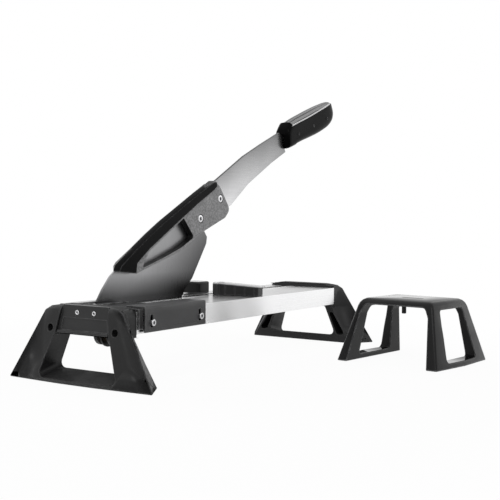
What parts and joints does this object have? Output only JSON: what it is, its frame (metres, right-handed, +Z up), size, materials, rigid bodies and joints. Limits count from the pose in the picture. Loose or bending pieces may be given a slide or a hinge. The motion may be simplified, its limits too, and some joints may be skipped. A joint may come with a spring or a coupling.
{
  "type": "laminate cutter",
  "caption": "Guillotine-style laminate cutter: hinged blade and long lever on a slotted rail table with windowed feet, a swivelling stop and a loose support stand.",
  "frame": {"origin": "on the floor, in the middle of the underside of the near foot's bottom bar", "axes": "+X along the rails from the pivot foot to the far foot, +Y towards the narrow far rail, +Z up"},
  "size_m": [0.7408, 0.4791, 0.4391],
  "materials": {
    "black_plastic": "satin black moulding with fine texture",
    "grey_plastic": "light grey satin moulding",
    "grip_insert": "ribbed soft grip",
    "aluminium": "brushed extrusion",
    "blade_steel": "ground steel",
    "bar_steel": "satin steel",
    "cast_metal": "textured grey coat on a casting",
    "anthracite": "satin anthracite coat",
    "zinc_steel": "zinc plated",
    "bronze": "sintered bearing"
  },
  "bodies": {
    "base": {"near_foot": "black_plastic", "far_foot": "black_plastic", "near_fascia": "black_plastic", "far_fascia": "black_plastic", "head_cover": "black_plastic", "far_fence": "black_plastic", "near_rail": "aluminium", "far_rail": "aluminium", "counter_blade": "blade_steel", "near_lug": "anthracite", "far_lug": "anthracite", "near_fascia_screw_1": "zinc_steel", "near_fascia_screw_2": "zinc_steel", "near_rail_bolt_1": "zinc_steel", "near_rail_bolt_2": "zinc_steel", "far_fascia_screw_1": "zinc_steel", "far_fascia_screw_2": "zinc_steel", "far_rail_bolt_1": "zinc_steel", "far_rail_bolt_2": "zinc_steel", "counter_blade_screw_1": "zinc_steel", "counter_blade_screw_2": "zinc_steel", "counter_blade_screw_3": "zinc_steel", "near_lug_screw_1": "zinc_steel", "near_lug_screw_2": "zinc_steel", "far_lug_screw_1": "zinc_steel", "far_lug_screw_2": "zinc_steel", "pivot_pin": "zinc_steel", "pivot_nut": "zinc_steel", "far_fence_screw_1": "zinc_steel", "far_fence_screw_2": "zinc_steel", "fence_stud": "zinc_steel", "bracket_screw_1": "zinc_steel", "bracket_screw_2": "zinc_steel", "bracket_spacer_1": "grey_plastic", "bracket_spacer_2": "grey_plastic"},
    "lever": {"blade": "blade_steel", "lever_bar": "bar_steel", "near_cheek": "cast_metal", "far_cheek": "cast_metal", "spine_cover": "black_plastic", "grip_body": "black_plastic", "grip_collar": "black_plastic", "grip_top": "grip_insert", "pivot_hub": "bronze", "cheek_bolt_1": "zinc_steel", "cheek_bolt_2": "zinc_steel", "cheek_nut_1": "zinc_steel", "cheek_nut_2": "zinc_steel", "grip_screw_1": "zinc_steel", "grip_screw_2": "zinc_steel", "grip_screw_3": "zinc_steel"},
    "stop": {"fence_body": "black_plastic", "fence_cover": "grey_plastic"},
    "bracket": {"side_bracket": "anthracite"},
    "stand": {"support_stand": "black_plastic"}
  },
  "joints": [
    {"name": "lever_hinge", "type": "hinge", "parent": "base", "child": "lever", "pos_m": [0.072, 0.0278, 0.054], "axis": [0, -1, 0], "range_deg": [-20, 30]},
    {"name": "stop_swivel", "type": "hinge", "parent": "base", "child": "stop", "pos_m": [0.318, 0.008, 0.0953], "axis": [0, 0, 1], "range_deg": [-60, 30]},
    {"name": "bracket_slide", "type": "slide", "parent": "base", "child": "bracket", "axis": [0, 0, 1], "range_m": [-0.003, 0.003]},
    {"name": "stand_shift", "type": "slide", "parent": "base", "child": "stand", "axis": [0, -1, 0], "range_m": [-0.06, 0.15]}
  ]
}
